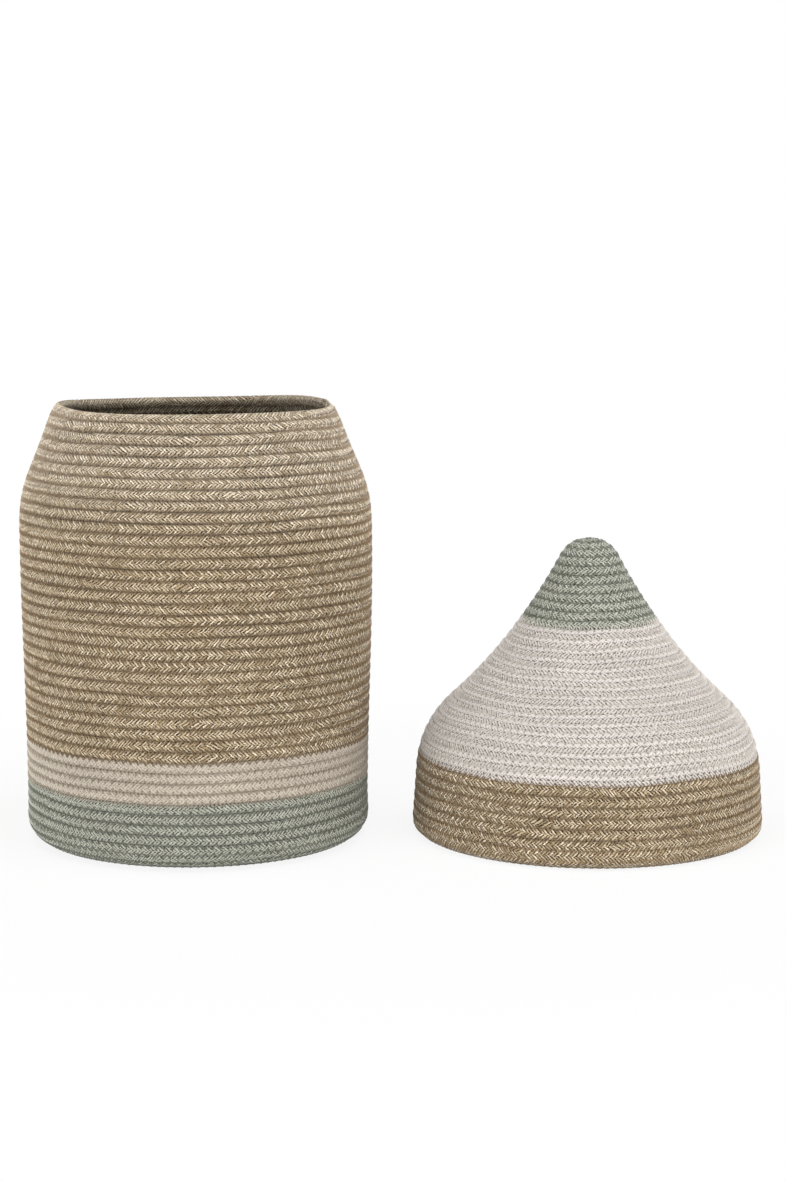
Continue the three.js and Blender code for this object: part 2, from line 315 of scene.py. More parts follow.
class Shell:
    """The basket or the lid: an outline, the coil line that winds over it, and its unevenness. Its bands are
    each a cord's width and the length along the outline at which that cord ends."""

    def __init__(self, outline, hand, axis, body, bands, seed, rim_lean=0.0, rim_rises=()):
        self.outline = outline
        self.rim_lean = rim_lean
        self.rim_rises = rim_rises
        self.hand = hand
        self.axis = axis
        self.body = body
        first_width = bands[0][0]
        turns = [-1.0, 0.0]
        lengths = [-first_width, 0.0]
        self.ends = []
        for width, end in bands:
            filled = round(turns[-1] + (end - lengths[-1]) / width - 0.5)
            self.ends.append(filled)
            turns.append(filled + 0.5)
            lengths.append(end)
        self.last = self.ends[-1] - 1 + END_TURN
        self.knots = turns, lengths
        rng = np.random.default_rng(seed)
        self.bulge = Waves(rng, BULGE, BULGE_ROUNDS, BULGE_LENGTH)
        self.drift = Waves(rng, DRIFT, DRIFT_ROUNDS, DRIFT_LENGTH)
        past_rim = self.ends[-1] + 2
        sewn = np.linspace(0, past_rim, STEPS_PER_TURN * past_rim)
        seam = self.place(sewn, self.line(sewn), 0, 0)
        self.sewn = sewn, path_length(seam) / STITCH_PERIOD

    def line(self, turns):
        """The length along the outline that the coil line has reached."""
        return np.interp(climb(turns, self.last), *self.knots)

    def stitches(self, turns):
        """How many zigzags the sewing along the coil line has made by each turn."""
        return np.interp(turns, *self.sewn)

    def turns_at(self, stitches):
        """The turn at which the sewing has made each number of zigzags."""
        return np.interp(stitches, self.sewn[1], self.sewn[0])

    def place(self, turns, middle, across, outward):
        """Points in space at a turn and a length along the outline, and from there across the cord, square to
        the outline, and out from its outer face."""
        angle = BACK + self.hand * TURN * turns
        r, z, heading = self.outline.at(middle)
        settled = smooth(z / SETTLED_HEIGHT) * smooth(r / SETTLED_RADIUS)
        inside = smooth((self.outline.length - middle - across) / SETTLED_RIM)
        across = across + settled * inside * self.drift.at(angle, middle)
        rows_down = (self.outline.length - middle - across) / TAN_WIDTH
        out = outward + settled * self.bulge.at(angle, middle) - self.lean(angle, rows_down)
        r = r + out * self.hand * np.sin(heading) + across * np.cos(heading)
        z = z - out * self.hand * np.cos(heading) + across * np.sin(heading) + self.rise(angle, rows_down)
        x = self.axis[0] + r * np.cos(angle)
        y = self.axis[1] + r * np.sin(angle)
        return np.stack([x, y, np.maximum(z, 0)], -1)

    def lean(self, angle, rows_down):
        """How far the rim leans in."""
        in_front = 1 - LEAN_LOST_BEHIND * smooth(0.5 + 0.5 * np.sin(angle))
        return self.rim_lean * in_front * smooth(1 - rows_down / RIM_LEAN_ROWS)

    def rise(self, angle, rows_down):
        """How much higher the rim stands."""
        rise = 0.0
        for there, height in self.rim_rises:
            rise = rise + height * (0.5 + 0.5 * np.cos(angle - there)) ** RIM_RISE_POWER
        return rise * smooth(1 - rows_down / RIM_RISE_ROWS)


class Cord:
    """One sewn length of cord on a shell, from a turn to a turn, as a closed braided tube. Its section is a
    rounded square, wider than its row by the squeeze, so that it runs into its neighbours."""

    def __init__(self, shell, start, end, squeeze, finish, seed, rim=False):
        self.shell = shell
        self.squeeze = squeeze
        self.pairing, self.depth, self.reach_back, self.reach_ahead = BRAIDS[finish]
        self.start = start if start > 0 else EYE_START
        self.rim = rim
        self.end = shell.last if rim else end
        self.rng = np.random.default_rng(seed)
        self.turns, self.lengths = self.measure()

    def edges(self, turns):
        """The cord's middle and half width, as lengths along the outline."""
        low = self.shell.line(turns)
        high = self.shell.line(turns + 1)
        return (low + high) / 2, (high - low) / 2

    def measure(self):
        """Turns along the cord, and the length of its middle line up to each. At the centre of a coil, where
        the cord turns on the spot, the length is taken halfway out to its edge."""
        turns = np.linspace(self.start, self.end, STEPS_PER_TURN * math.ceil(self.end - self.start) + 1)
        middle, half_width = self.edges(turns)
        lengths = path_length(self.shell.place(turns, middle, 0, -CORD_THICKNESS / 2))
        on_the_spot = half_width[0] / 2 * TURN * (turns[1] - turns[0])
        steps = np.maximum(np.diff(lengths, prepend=-on_the_spot), on_the_spot)
        return turns, np.cumsum(steps) - on_the_spot

    def section_radius(self, turns, angle, half_width, half_thickness):
        """How far the skin is from the cord's middle, at an angle from its outer face. The rim's free side is
        rounder, as no neighbour presses it. The skin closes to a point where the cord has no width."""
        free = smooth((turns - self.shell.last + 1) / FREE_OVER) * (np.sin(angle) > 0)
        squeeze = self.squeeze + free * (1 - self.squeeze)
        power = SQUARENESS + free * (FREE_SQUARENESS - SQUARENESS)
        with np.errstate(divide="ignore"):
            across = np.abs(np.sin(angle)) / (half_width * squeeze)
            out = np.abs(np.cos(angle)) / half_thickness
        return (across ** power + out ** power) ** (-1 / power)

    def section_depth(self, across, half_width):
        """How far the skin lies inside the outer face, at a distance across from the cord's middle."""
        share = np.clip(np.abs(across) / (half_width * self.squeeze), 0, 1)
        return CORD_THICKNESS / 2 * (1 - (1 - share ** SQUARENESS) ** (1 / SQUARENESS))

    def twist(self, along):
        """How far the cord has turned about its own line. A quarter turn makes its V shapes point the other
        way."""
        count = int(self.lengths[-1] / TWIST_SPACING) + 2
        quarters = self.rng.choice([-1, 0, 1], count, p=TWIST_CHANCES) * math.pi / 2
        middles = (np.arange(count) + self.rng.uniform(*TWIST_PLACES, count)) * TWIST_SPACING
        knots = np.stack([middles - TWIST_REACH, middles + TWIST_REACH], -1).ravel()
        turned = np.stack([np.cumsum(quarters) - quarters, np.cumsum(quarters)], -1).ravel()
        wander_knots = np.arange(0, self.lengths[-1] + TWIST_SPACING, TWIST_SPACING / 2)
        wander = self.rng.uniform(*WANDER, len(wander_knots))
        return np.interp(along, knots, turned) + np.interp(along, wander_knots, wander)

    def rings(self):
        """Every ring's points, with each one's length along the cord, turn and place across its row."""
        total = self.lengths[-1]
        count = RINGS_PER_STRAND * round(total / STRAND_WIDTH) + 1
        along = np.linspace(0, total, count)[:, None]
        near_end = np.minimum(along, total - along)
        degrees = np.arange(COLUMNS)[None, :] * 360 / COLUMNS - 180
        fold = 1 - np.abs(np.abs(degrees) / 90 - 1)
        moved = np.clip(along - ARM_REACH * smooth(near_end / END_LENGTH) * fold, 0, total)
        turns = np.interp(moved, self.lengths, self.turns)
        middle, half_width = self.edges(turns)
        taper = smooth(half_width / np.max(half_width) / THINS_BELOW) if self.rim else 1.0
        angle = np.radians(degrees) + self.twist(moved)
        radius = self.section_radius(turns, angle, half_width, CORD_THICKNESS / 2 * taper)
        radius = radius - self.relief(count)
        rounding = 1 - np.clip(near_end / END_ROUNDING, 0, 1)
        radius = radius * np.sqrt(np.clip(1 - (END_DRAW * rounding) ** 2, 0, 1))
        across = radius * np.sin(angle)
        outward = radius * np.cos(angle) - CORD_THICKNESS / 2
        places = self.shell.place(turns, middle, across, outward)
        row = across / np.maximum(half_width, LEAST_HALF_WIDTH)
        return places, moved, turns, row

    def relief(self, count):
        """How far each ring's points sink between strands, deepest between pairs of strands. Neighbouring
        arms are half a strand apart."""
        ring = np.arange(count)[:, None]
        column = np.arange(COLUMNS)[None, :]
        step = (ring + column // COLUMNS_PER_ARM % 2) % (2 * RINGS_PER_STRAND)
        gaps = [step == 0, step == RINGS_PER_STRAND]
        sunk = np.select(gaps, [1.0, 1 - PAIR_LOSS * self.pairing], 0.0)
        sunk = np.where(column % COLUMNS_PER_ARM == 0, 0.5 * sunk + FOLD_RELIEF, sunk)
        return self.depth * sunk * self.rng.uniform(*RELIEF_SPREAD, sunk.shape)


def tube_mesh(name, places, hand):
    """A closed tube through rings of points, and the ring and column of each corner of its sides."""
    count, columns = places.shape[:2]
    ring = np.arange(count - 1)[:, None] * columns
    column = np.arange(columns)[None, :]
    following = (column + 1) % columns
    sides = np.stack([
        ring + column,
        ring + following,
        ring + columns + following,
        ring + columns + column,
    ], -1).reshape(-1, 4)
    first = np.arange(columns)
    last = first + (count - 1) * columns
    if hand > 0:
        sides = sides[:, ::-1]
        last = last[::-1]
        first = first[::-1]
    corners = np.concatenate([sides.ravel(), first[::-1], last])
    starts = np.concatenate([np.arange(len(sides)) * 4, [len(sides) * 4, len(sides) * 4 + columns]])
    mesh = bpy.data.meshes.new(name)
    mesh.vertices.add(count * columns)
    mesh.vertices.foreach_set("co", places.astype(np.float32).ravel())
    mesh.loops.add(len(corners))
    mesh.loops.foreach_set("vertex_index", corners.astype(np.int32))
    mesh.polygons.add(len(starts))
    mesh.polygons.foreach_set("loop_start", starts.astype(np.int32))
    mesh.update(calc_edges=True)
    mesh.shade_smooth()
    return mesh, sides // columns, sides % columns


def set_map(mesh, name, u, v):
    """A UV map from the sides' corners. The two end faces stay at its origin."""
    values = np.zeros((len(mesh.loops), 2), np.float32)
    values[: u.size, 0] = u.ravel()
    values[: v.size, 1] = v.ravel()
    layer = mesh.uv_layers.new(name=name)
    layer.data.foreach_set("uv", values.ravel())


def set_bake_map(mesh, length, around, total, girth):
    """A map that lays the tube's skin out flat in rows, to bake its finish on."""
    rows = max(1, round(math.sqrt(total / girth)))
    row_length = total / rows * BAKE_SLACK
    row = np.floor(length.min(axis=1, keepdims=True) / row_length)
    u = (length - row * row_length) / (row_length + ARM_REACH + STRAND_WIDTH)
    v = (row + BAKE_MARGIN + (1 - 2 * BAKE_MARGIN) * around) / rows
    set_map(mesh, "OFBake", u, v)


def around_share(column, columns):
    """Each corner's place round the tube, from 0 to 1, where the last face closes it."""
    closing = column.max(axis=1, keepdims=True) - column.min(axis=1, keepdims=True) > 1
    return np.where(closing & (column == 0), columns, column) / columns


def cord_mesh(name, cord):
    """A cord's mesh. Its maps hold the strand and the place round the cord, the place across the row and how
    far along the cord, and the stitches made by the seams below and above. Over the rim, where there's no
    seam, they stand where the needle isn't."""
    places, along, turns, row = cord.rings()
    mesh, ring, column = tube_mesh(name, places, cord.shell.hand)
    around = around_share(column, COLUMNS)
    arm = np.floor(around.mean(axis=1, keepdims=True) * ARMS)
    set_map(mesh, "Braid", ring / RINGS_PER_STRAND + 0.5 * (arm % 2), around)
    length = along[ring, column]
    set_map(mesh, "Row", row[ring, column], length)
    turn = turns[ring, column]
    above = np.where(turn + 1 < cord.shell.last, cord.shell.stitches(turn + 1), NEEDLE_AHEAD)
    set_map(mesh, "Needle", cord.shell.stitches(turn), above)
    set_bake_map(mesh, length, around, cord.lengths[-1], CORD_GIRTH)
    return mesh


def sewing_line(cord):
    """The middle line of the zigzag sewing along the cord's lower edge, and the way out from the cords at
    each of its points. It lies on the two cords, spans the groove between them and dives in at the needle's
    places."""
    shell = cord.shell
    last_sewn = cord.end - TAPER if cord.rim else cord.end
    first, last = shell.stitches(np.array([max(cord.start, 1), last_sewn]))
    step = np.arange(math.ceil(first * STITCH_STEPS), math.floor(last * STITCH_STEPS))
    stitch = step / STITCH_STEPS
    turns = shell.turns_at(stitch)
    swing = 1 - 4 * np.abs((stitch + 0.5 - NEEDLE_AHEAD) % 1 - 0.5)
    seam = shell.line(turns)
    row_ahead = shell.line(turns + 1) - seam
    row_behind = seam - shell.line(turns - 1)
    half_width = np.where(swing > 0, row_ahead, row_behind) / 2
    reach = np.minimum(np.where(swing > 0, cord.reach_ahead, cord.reach_back), MOST_REACH * half_width)
    reach = reach * cord.rng.uniform(*REACH_SPREAD, swing.shape)
    on_cord = np.maximum(np.abs(swing) * reach, np.minimum(BRIDGE, reach))
    depth = cord.section_depth(half_width - on_cord, np.maximum(half_width, LEAST_HALF_WIDTH))
    swung = np.abs(swing)
    lift = np.select([swung > AT_NEEDLE, swung < AT_SEAM], [LIFT_AT_NEEDLE, LIFT_AT_SEAM], THREAD_LIFT)
    middle = shell.place(turns, seam, swing * reach, lift - depth)
    out = shell.place(turns, seam, swing * reach, lift - depth + 1 * MM) - middle
    return middle, out / np.maximum(np.linalg.norm(out, axis=1, keepdims=True), TINY)


def thread_mesh(name, cord):
    """The mesh of the sewing along the cord's lower edge. Its map counts thread widths along it."""
    middle, out = sewing_line(cord)
    side = np.cross(np.gradient(middle, axis=0), out)
    side = side / np.linalg.norm(side, axis=1, keepdims=True)
    turn = TURN * np.arange(THREAD_SIDES) / THREAD_SIDES
    spread = out[:, None] * np.cos(turn)[:, None] + side[:, None] * np.sin(turn)[:, None]
    places = middle[:, None] + THREAD_WIDTH / 2 * spread
    places[..., 2] = np.maximum(places[..., 2], 0)
    mesh, ring, column = tube_mesh(name, places, 1)
    around = around_share(column, THREAD_SIDES)
    length = path_length(middle)
    set_map(mesh, "Ply", length[ring] / THREAD_WIDTH, around)
    set_bake_map(mesh, length[ring], around, length[-1], THREAD_WIDTH * math.pi)
    return mesh


# Camera, at the photograph's viewing angle. Its dip is in degrees, and its sensor's height in millimetres.
CAMERA_PLACE = (0.1693, -2.142, 0.502)
CAMERA_DIP = 7.69
FOCAL_PIXELS = 2500
PICTURE_HEIGHT = 1182
SENSOR = 36


def add_camera():
    data = bpy.data.cameras.new("camera")
    data.sensor_width = SENSOR
    data.lens = SENSOR * FOCAL_PIXELS / PICTURE_HEIGHT
    camera = bpy.data.objects.new("camera", data)
    camera.location = CAMERA_PLACE
    camera.rotation_euler = (math.radians(90 - CAMERA_DIP), 0, 0)
    bpy.context.scene.collection.objects.link(camera)
    bpy.context.scene.camera = camera


def linear(r, g, b):
    """A colour written as the picture shows it, 0 to 255, as the light values that the shader takes."""
    return (*(((c / 255 + 0.055) / 1.055) ** 2.4 for c in (r, g, b)), 1.0)


class Output:
    """A number or a colour that a node puts out. Arithmetic with other outputs and with plain numbers adds
    maths nodes to the same tree."""

    def __init__(self, tree, socket):
        self.tree = tree
        self.socket = socket

    def calc(self, operation, *others):
        return calc(self.tree, operation, self, *others)

    def __add__(self, other):
        return self.calc("ADD", other)

    def __sub__(self, other):
        return self.calc("SUBTRACT", other)

    def __rsub__(self, other):
        return calc(self.tree, "SUBTRACT", other, self)

    def __mul__(self, other):
        return self.calc("MULTIPLY", other)

    def __abs__(self):
        return self.calc("ABSOLUTE")

    def floor(self):
        return self.calc("FLOOR")

    def part(self):
        """What it has above its whole number."""
        return self.calc("FRACT")

    def zigzag(self, size):
        """It rises from 0 to a size and falls back, over and over."""
        return self.calc("PINGPONG", size)

    def hump(self):
        """It rises from 0 to 1 and falls back over each whole number, as half a wave."""
        return (self.part() * math.pi).calc("SINE")

    def eased(self, low, high, to_low=0.0, to_high=1.0):
        """It goes smoothly from one value to another between two of its own values."""
        node = self.tree.nodes.new("ShaderNodeMapRange")
        node.interpolation_type = "SMOOTHSTEP"
        names = ("Value", "From Min", "From Max", "To Min", "To Max")
        for name, value in zip(names, (self, low, high, to_low, to_high)):
            feed(value, node.inputs[name])
        return Output(self.tree, node.outputs["Result"])


def feed(value, socket):
    """Links an output to a socket, or sets the socket to a plain value."""
    if isinstance(value, Output):
        value.tree.links.new(value.socket, socket)
    else:
        socket.default_value = value


def calc(tree, operation, *values):
    """A maths node's result, from outputs and plain numbers."""
    node = tree.nodes.new("ShaderNodeMath")
    node.operation = operation
    for value, socket in zip(values, node.inputs):
        feed(value, socket)
    return Output(tree, node.outputs[0])


def mixed(tree, share, a, b, blend="MIX"):
    """Two colours mixed."""
    node = tree.nodes.new("ShaderNodeMix")
    node.data_type = "RGBA"
    node.blend_type = blend
    for socket, value in ((node.inputs[0], share), (node.inputs[6], a), (node.inputs[7], b)):
        feed(value, socket)
    return Output(tree, node.outputs[2])


def vector(tree, x, y, z=0.0):
    node = tree.nodes.new("ShaderNodeCombineXYZ")
    for socket, value in zip(node.inputs, (x, y, z)):
        feed(value, socket)
    return Output(tree, node.outputs[0])


def axes(tree, socket):
    """The three numbers of a vector."""
    node = tree.nodes.new("ShaderNodeSeparateXYZ")
    tree.links.new(socket, node.inputs[0])
    return [Output(tree, axis) for axis in node.outputs]


def map_parts(tree, name):
    """The two numbers that a mesh holds in a UV map."""
    uv = tree.nodes.new("ShaderNodeUVMap")
    uv.uv_map = name
    return axes(tree, uv.outputs[0])[:2]


def random_of(tree, x, y):
    """A random value from 0 to 1 for each pair of whole numbers."""
    node = tree.nodes.new("ShaderNodeTexWhiteNoise")
    node.noise_dimensions = "2D"
    feed(vector(tree, x, y), node.inputs["Vector"])
    return Output(tree, node.outputs["Value"])


def noise(tree, x, y, scale, detail=2.0):
    """A cloudy value round 0.5. Its scale is how often it changes in each unit of x and of y."""
    node = tree.nodes.new("ShaderNodeTexNoise")
    node.inputs["Scale"].default_value = 1.0
    node.inputs["Detail"].default_value = detail
    feed(vector(tree, x * scale[0], y * scale[1]), node.inputs["Vector"])
    return Output(tree, node.outputs["Fac"])


def levelled(tree, colour, level):
    """A colour made lighter or darker."""
    return mixed(tree, 1.0, colour, vector(tree, level, level, level), "MULTIPLY")


# Paler towards the basket's mouth: the heights between which it grows, and the colour it grows paler to
PALE_FROM = SHOULDER_HEIGHT - 20 * MM
PALE_TO = SHOULDER_HEIGHT + 60 * MM
PALEST = linear(236, 225, 205)


def paler_to_mouth(tree, colour, amount):
    """The colour, paler towards the basket's mouth by an amount."""
    place = tree.nodes.new("ShaderNodeTexCoord").outputs["Object"]
    height = axes(tree, place)[2]
    return mixed(tree, height.eased(PALE_FROM, PALE_TO) * amount, colour, PALEST)


def new_group(name, inputs, outputs):
    """An empty node group with its sockets, each given as a name and a kind."""
    tree = bpy.data.node_groups.new(name, "ShaderNodeTree")
    for sockets, way in ((inputs, "INPUT"), (outputs, "OUTPUT")):
        for socket, kind in sockets:
            tree.interface.new_socket(socket, in_out=way, socket_type=f"NodeSocket{kind}")
    entry = tree.nodes.new("NodeGroupInput").outputs
    given = {socket: Output(tree, entry[socket]) for socket, kind in inputs}
    return tree, given, tree.nodes.new("NodeGroupOutput").inputs


FINISH_OUTPUTS = [("Colour", "Color"), ("Height", "Float"), ("Roughness", "Float")]

# Weave: the yarns in a strand, how far its edges wobble as a share of its width, and what the strand, the
# yarn and the fibres each add to a yarn's tone. A scale is how often a pattern changes, first in each strand,
# or each metre for the patches, and then once round the cord. The draws keep one chance apart from another.
YARNS = 3.0
STRAND_WOBBLE = 0.8
STRAND_TONE = 0.45
YARN_TONE = 0.35
FIBRE_TONE = 0.2
WOBBLE_SCALE = (1.3, 24.0)
FIBRE_SCALE = (11.0, 30.0)
PATCH_SCALE = (9.0, 1.5)
SPECKLE_SCALE = (2.3, 34.0)
YARN_DRAW = 4.0
BRIGHT_DRAW = 20.0
ROUND_DRAW = 9.5
FIBRE_DETAIL = 3.0

# Masks: the two values between which each fades, as a distance in strands, a share of the row's half width,
# or a part of a chance or a pattern
BRIGHT_EDGE = (0.13, 0.25)
STRAY_EDGE = (0.84, 0.9)
SPECKLE_EDGE = (0.44, 0.6)
LINE_EDGE = (0.06, 0.29)
FLECK_EDGE = (0.15, 0.4)
FLECK_CHANCE = (0.46, 0.55)
GROOVE_EDGE = (0.76, 0.98)
EYE_SIDE_EDGE = (-0.6, 0.1)

# Brightness: where in its strand the brightest yarn may be, what is left on the second strand of a pair, on
# the dullest rounds and strands, at the row's edges (partly painted shade towards the grooves) and between
# speckles, and what a stray yarn has
BRIGHT_PLACES = (0.35, 0.6)
SECOND_BRIGHT = 0.3
DULLEST_ROUND = 0.7
DULLEST_STRAND = 0.1
BRIGHT_AT_EDGE = 0.25
BRIGHT_BETWEEN = 0.15
STRAY_BRIGHT = 0.7

# Dark: of the painted shade, what lines within a pair lose, what is left of the faintest gaps and of the
# groove where a strand rises, and how much likelier flecks are at a fold; and the darkest and lightest
# patches
PAIR_LINE_LOSS = 0.6
FAINTEST_GAP = 0.45
GROOVE_AT_RISE = 0.5
FOLD_FLECKS = 0.05
PATCH_LEVELS = (0.94, 1.05)

# Needle holes' painted shade, in millimetres: the distance at which a hole starts to fade, and at which it's
# gone
HOLE_EDGE = (0.55, 1.25)


class Weave:
    """Where a point of a braided cord's skin is: strands are counted along the cord in each arm, and a round
    is one strand of each arm. Rounds, strands and yarns each have a chance of their own, from 0 to 1."""

    def __init__(self, tree):
        strand, around = map_parts(tree, "Braid")
        self.row, along = map_parts(tree, "Row")
        arm_place = around * float(ARMS)
        arm = arm_place.floor()
        wobble = noise(tree, strand, around, WOBBLE_SCALE)
        self.tree = tree
        self.strand = strand + (wobble - 0.5) * STRAND_WOBBLE
        self.number = self.strand.floor()
        yarn = self.strand * YARNS
        self.from_fold = arm_place.zigzag(0.5) * 2.0
        self.from_gap = self.strand.zigzag(0.5)
        self.from_row_middle = abs(self.row)
        self.rise = self.strand.hump()
        self.ply = yarn.hump()
        self.strand_chance = random_of(tree, self.number, arm)
        self.yarn_chance = random_of(tree, yarn.floor(), arm + YARN_DRAW)
        self.round_chance = random_of(tree, self.number, ROUND_DRAW)
        bright_chance = random_of(tree, self.number, arm + BRIGHT_DRAW)
        self.bright_place = bright_chance.eased(0.0, 1.0, *BRIGHT_PLACES)
        self.fibre = noise(tree, self.strand, around, FIBRE_SCALE, FIBRE_DETAIL)
        self.patch = noise(tree, along, around, PATCH_SCALE)
        self.speckle = noise(tree, self.strand, around, SPECKLE_SCALE)

    def brightness(self, pairing):
        """The brightest yarn of each strand, less on every second strand where they go in pairs, and a few
        stray ones. They show most in the middle of the row and dim towards its edges, partly as the braid's
        shorter arms and partly as painted shade towards the grooves."""
        off_bright = abs(self.strand.part() - self.bright_place)
        second = self.number.zigzag(1.0) * pairing
        bright = off_bright.eased(*BRIGHT_EDGE, 1.0, 0.0) * second.eased(0.0, 1.0, 1.0, SECOND_BRIGHT)
        bright = bright * self.round_chance.eased(0.0, 0.5, DULLEST_ROUND, 1.0)
        bright = bright * self.strand_chance.eased(0.0, 0.6, DULLEST_STRAND, 1.0)
        stray = self.yarn_chance.eased(*STRAY_EDGE) * self.ply
        bright = bright.calc("MAXIMUM", stray * STRAY_BRIGHT)
        bright = bright * self.from_row_middle.eased(0.45, 0.95, 1.0, BRIGHT_AT_EDGE)
        return bright * self.speckle.eased(*SPECKLE_EDGE, 1.0, BRIGHT_BETWEEN)

    def colour(self, given):
        """The yarns' colour, before any shadow."""
        tone = self.strand_chance * STRAND_TONE + self.yarn_chance * YARN_TONE + self.fibre * FIBRE_TONE
        light = paler_to_mouth(self.tree, given["Light"], given["Paleness"])
        colour = mixed(self.tree, tone, given["Dark"], light)
        bright = self.brightness(given["Pairing"]) * given["Bright Amount"]
        colour = mixed(self.tree, bright, colour, given["Bright"])
        return levelled(self.tree, colour, self.patch.eased(0.3, 0.7, *PATCH_LEVELS))

    def line(self, pairing):
        """The lines between strands, fainter within a pair."""
        within_pair = (self.strand + 0.5).floor().zigzag(1.0)
        return self.from_gap.eased(*LINE_EDGE, 1.0, 0.0) * (1.0 - within_pair * pairing * PAIR_LINE_LOSS)

    def gap(self, line, eye_side_shade):
        """Painted shade in the lines between strands."""
        gap = line * self.strand_chance.eased(0.0, 0.8, FAINTEST_GAP, 1.0) * self.towards_eye(eye_side_shade)
        return gap * self.speckle.eased(0.35, 0.5, FAINTEST_GAP, 1.0)

    def fleck(self, eye_side_shade):
        """Flecks of painted shade beside the lines, more near the folds."""
        likely = self.speckle + self.from_fold.eased(0.1, 0.6, 1.0, 0.0) * FOLD_FLECKS
        fleck = self.from_gap.eased(*FLECK_EDGE, 1.0, 0.0) * likely.eased(*FLECK_CHANCE)
        return fleck * self.towards_eye(eye_side_shade)

    def groove(self):
        """Painted shade in the groove between rows, less where a strand rises."""
        return self.from_row_middle.eased(*GROOVE_EDGE) * self.rise.eased(0.2, 0.9, 1.0, GROOVE_AT_RISE)

    def towards_eye(self, share):
        """A share on the row's side towards the coil's eye, the upper side on the lid, and 1 on the other. It
        scales
        the painted shade there: below 1 it paints light on that side of each row.
        """
        return self.row.eased(*EYE_SIDE_EDGE, share, 1.0)

    def hole(self, reach_back, reach_ahead):
        """Painted shade where the needle went in, ahead of the seam behind the row and back from the seam
        ahead of it, in millimetres."""
        behind, ahead_of = map_parts(self.tree, "Needle")
        half_width = TAN_WIDTH / 2 / MM
        holes = []
        for stitches, place, from_seam, reach in (
            (behind, NEEDLE_AHEAD, self.row + 1.0, reach_ahead),
            (ahead_of, NEEDLE_BEHIND, 1.0 - self.row, reach_back),
        ):
            ahead = (stitches.part() - place) * (STITCH_PERIOD / MM)
            beside = from_seam * half_width - reach
            distance = (ahead * ahead + beside * beside).calc("SQRT")
            holes.append(distance.eased(*HOLE_EDGE, 1.0, 0.0))
        return holes[0].calc("MAXIMUM", holes[1])


def braid_group():
    """The weave of a braided cotton cord: each arm holds strands of three yarns. Where strands go in pairs,
    the gap between the pairs gets the darker painted shade, and the first strand of each has the brightest
    yarn."""
    colours = ("Dark", "Light", "Bright", "Shadow")
    amounts = (
        "Pairing", "Bright Amount", "Gap Shade", "Eye Side Shade", "Fleck Shade", "Groove Shade", "Hole Shade", "Paleness",
        "Reach Back", "Reach Ahead",
    )
    inputs = [(name, "Color") for name in colours] + [(name, "Float") for name in amounts]
    tree, given, out = new_group("braided cord", inputs, FINISH_OUTPUTS)
    weave = Weave(tree)
    line = weave.line(given["Pairing"])
    gap = weave.gap(line, given["Eye Side Shade"])
    fleck = weave.fleck(given["Eye Side Shade"])
    hole = weave.hole(given["Reach Back"], given["Reach Ahead"])
    # Painted shade: the lines between strands, the flecks, the groove between rows and the needle holes mix
    # the colour towards the shadow colour.
    in_light = 1.0
    for name, dark in (("Gap Shade", gap), ("Fleck Shade", fleck), ("Groove Shade", weave.groove()), ("Hole Shade", hole)):
        in_light = (1.0 - dark * given[name]) * in_light
    feed(mixed(tree, in_light, given["Shadow"], weave.colour(given)), out["Colour"])

    height = weave.ply * 0.3
    for mask, share in ((weave.fibre, 0.6), (weave.rise, 0.5), (line, -0.6), (hole, -1.2), (fleck, -0.8)):
        height = height + mask * share
    feed(height, out["Height"])
    feed(weave.fibre.eased(0.2, 0.8, 0.82, 0.98), out["Roughness"])
    return tree


def thread_group():
    """Two-ply sewing thread: its plies wind round it as slanting stripes, with painted shade between them.
    Its level changes a little every four widths."""
    tree, given, out = new_group("sewing thread", [("Thread", "Color"), ("Paleness", "Float")], FINISH_OUTPUTS)
    along, around = map_parts(tree, "Ply")
    ply = (along + around * 2.0).hump()
    chance = random_of(tree, (along * 0.25).floor(), 1.5)
    level = ply.eased(0.0, 0.8, 0.72, 1.0) * chance.eased(0.0, 1.0, 0.88, 1.08)
    colour = paler_to_mouth(tree, given["Thread"], given["Paleness"])
    feed(levelled(tree, colour, level), out["Colour"])
    feed(ply, out["Height"])
    feed(ply.eased(0.0, 1.0, 0.9, 0.7), out["Roughness"])
    return tree


# Matt cotton
BUMP_STRENGTH = 0.8
COTTON = {"Specular IOR Level": 0.2, "Sheen Weight": 0.12, "Sheen Roughness": 0.5}


def finished(name, group, values, bump_distance):
    """A matt cotton material from a group that gives a colour, height and roughness."""
    material = bpy.data.materials.new(name)
    material.use_nodes = True
    tree = material.node_tree
    shader = tree.nodes["Principled BSDF"]
    placed = tree.nodes.new("ShaderNodeGroup")
    placed.node_tree = group
    for socket, value in values.items():
        placed.inputs[socket].default_value = value
    bump = tree.nodes.new("ShaderNodeBump")
    bump.inputs["Strength"].default_value = BUMP_STRENGTH
    bump.inputs["Distance"].default_value = bump_distance
    tree.links.new(placed.outputs["Height"], bump.inputs["Height"])
    tree.links.new(bump.outputs["Normal"], shader.inputs["Normal"])
    tree.links.new(placed.outputs["Colour"], shader.inputs["Base Color"])
    tree.links.new(placed.outputs["Roughness"], shader.inputs["Roughness"])
    for socket, value in COTTON.items():
        shader.inputs[socket].default_value = value
    return material
